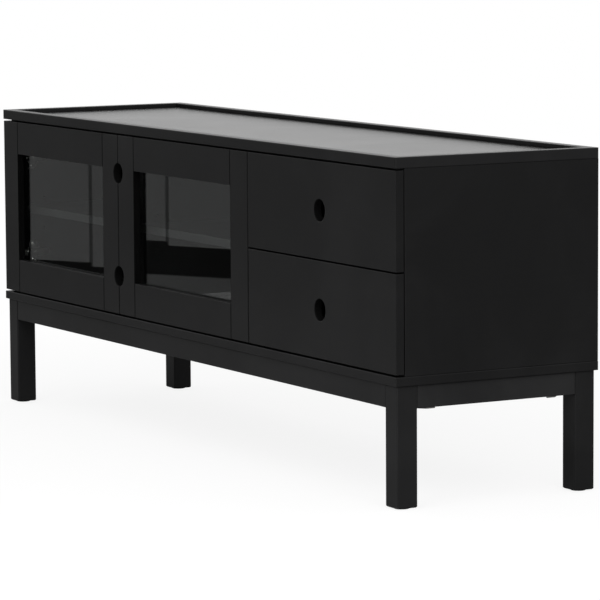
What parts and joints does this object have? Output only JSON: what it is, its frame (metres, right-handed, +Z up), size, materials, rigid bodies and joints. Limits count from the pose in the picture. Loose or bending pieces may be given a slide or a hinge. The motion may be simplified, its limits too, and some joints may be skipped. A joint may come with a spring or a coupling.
{
  "type": "media cabinet",
  "caption": "Low black media cabinet with a tray top, framed glass doors and drawers with round finger holes, on square legs joined by aprons.",
  "frame": {"origin": "On the floor, under the middle of the cabinet, which is the middle of the box round the whole part.", "axes": "+X runs along the front to the right as seen from the front, from the doors to the drawers; +Y runs from the front to the back; +Z is up."},
  "size_m": [1.56, 0.41, 0.6],
  "materials": {
    "satin_paint": "solid wood and board in satin black paint",
    "inside_paint": "board in matt black paint",
    "back_board": "thin hardboard, black faced",
    "bare_wood": "beech dowel, hidden in the joints",
    "drawer_board": "foil faced board, dark grey",
    "plated_steel": "nickel plated steel",
    "black_plastic": "moulded plastic",
    "clear_glass": "clear float glass"
  },
  "bodies": {
    "cabinet": {"top_panel": "satin_paint", "top_rim_front": "satin_paint", "top_rim_back": "satin_paint", "top_rim_left": "satin_paint", "top_rim_right": "satin_paint", "side_left": "satin_paint", "side_right": "satin_paint", "partition": "inside_paint", "divider": "inside_paint", "base_slab": "satin_paint", "top_rails": "inside_paint", "back_panel_left": "back_board", "back_panel_right": "back_board", "shelves": "inside_paint", "shelf_pins": "plated_steel", "dowels": "bare_wood", "bumpers": "black_plastic", "leg_front_left": "satin_paint", "leg_front_right": "satin_paint", "leg_back_left": "satin_paint", "leg_back_right": "satin_paint", "apron_front": "satin_paint", "apron_back_rail": "satin_paint", "apron_left": "satin_paint", "apron_right": "satin_paint", "corner_braces": "plated_steel", "brace_bolts": "plated_steel", "leg_glides": "black_plastic", "left_hinge_arms": "plated_steel", "right_hinge_arms": "plated_steel", "runner_cabinet_members": "plated_steel"},
    "left_door": {"left_hinge_cups": "plated_steel", "left_door_hinge_stile": "satin_paint", "left_door_meeting_stile": "satin_paint", "left_door_top_rail": "satin_paint", "left_door_bottom_rail": "satin_paint", "left_door_glass": "clear_glass", "left_door_clips": "black_plastic"},
    "right_door": {"right_hinge_cups": "plated_steel", "right_door_hinge_stile": "satin_paint", "right_door_meeting_stile": "satin_paint", "right_door_top_rail": "satin_paint", "right_door_bottom_rail": "satin_paint", "right_door_glass": "clear_glass", "right_door_clips": "black_plastic"},
    "left_links": {"left_hinge_links": "plated_steel"},
    "right_links": {"right_hinge_links": "plated_steel"},
    "upper_drawer": {"upper_drawer_front": "satin_paint", "upper_drawer_sides": "drawer_board", "upper_drawer_back": "drawer_board", "upper_drawer_bottom": "drawer_board", "upper_runner_drawer_members": "plated_steel"},
    "lower_drawer": {"lower_drawer_front": "satin_paint", "lower_drawer_sides": "drawer_board", "lower_drawer_back": "drawer_board", "lower_drawer_bottom": "drawer_board", "lower_runner_drawer_members": "plated_steel"},
    "upper_runner_mid": {"upper_runner_mid_members": "plated_steel"},
    "lower_runner_mid": {"lower_runner_mid_members": "plated_steel"}
  },
  "joints": [
    {"name": "left_door_hinge", "type": "hinge", "parent": "cabinet", "child": "left_door", "pos_m": [-0.7775, -0.202, 0.4], "axis": [0, 0, -1], "range_deg": [0, 90]},
    {"name": "left_link_pin", "type": "hinge", "parent": "cabinet", "child": "left_links", "pos_m": [-0.7425, -0.19, 0.4], "axis": [0, 0, 1], "range_deg": [0, 28.8]},
    {"name": "right_door_hinge", "type": "hinge", "parent": "cabinet", "child": "right_door", "pos_m": [0.2575, -0.202, 0.4], "axis": [0, 0, 1], "range_deg": [0, 90]},
    {"name": "right_link_pin", "type": "hinge", "parent": "cabinet", "child": "right_links", "pos_m": [0.2225, -0.19, 0.4], "axis": [0, 0, -1], "range_deg": [0, 28.8]},
    {"name": "upper_drawer_slide", "type": "slide", "parent": "cabinet", "child": "upper_drawer", "axis": [0, -1, 0], "range_m": [0, 0.32]},
    {"name": "upper_runner_slide", "type": "slide", "parent": "cabinet", "child": "upper_runner_mid", "axis": [0, -1, 0], "range_m": [0, 0.16]},
    {"name": "lower_drawer_slide", "type": "slide", "parent": "cabinet", "child": "lower_drawer", "axis": [0, -1, 0], "range_m": [0, 0.32]},
    {"name": "lower_runner_slide", "type": "slide", "parent": "cabinet", "child": "lower_runner_mid", "axis": [0, -1, 0], "range_m": [0, 0.16]}
  ],
  "couplings": [
    {"joint": "left_link_pin", "follows": "left_door_hinge", "ratio": 0.32},
    {"joint": "right_link_pin", "follows": "right_door_hinge", "ratio": 0.32},
    {"joint": "upper_runner_slide", "follows": "upper_drawer_slide", "ratio": 0.5},
    {"joint": "lower_runner_slide", "follows": "lower_drawer_slide", "ratio": 0.5}
  ]
}
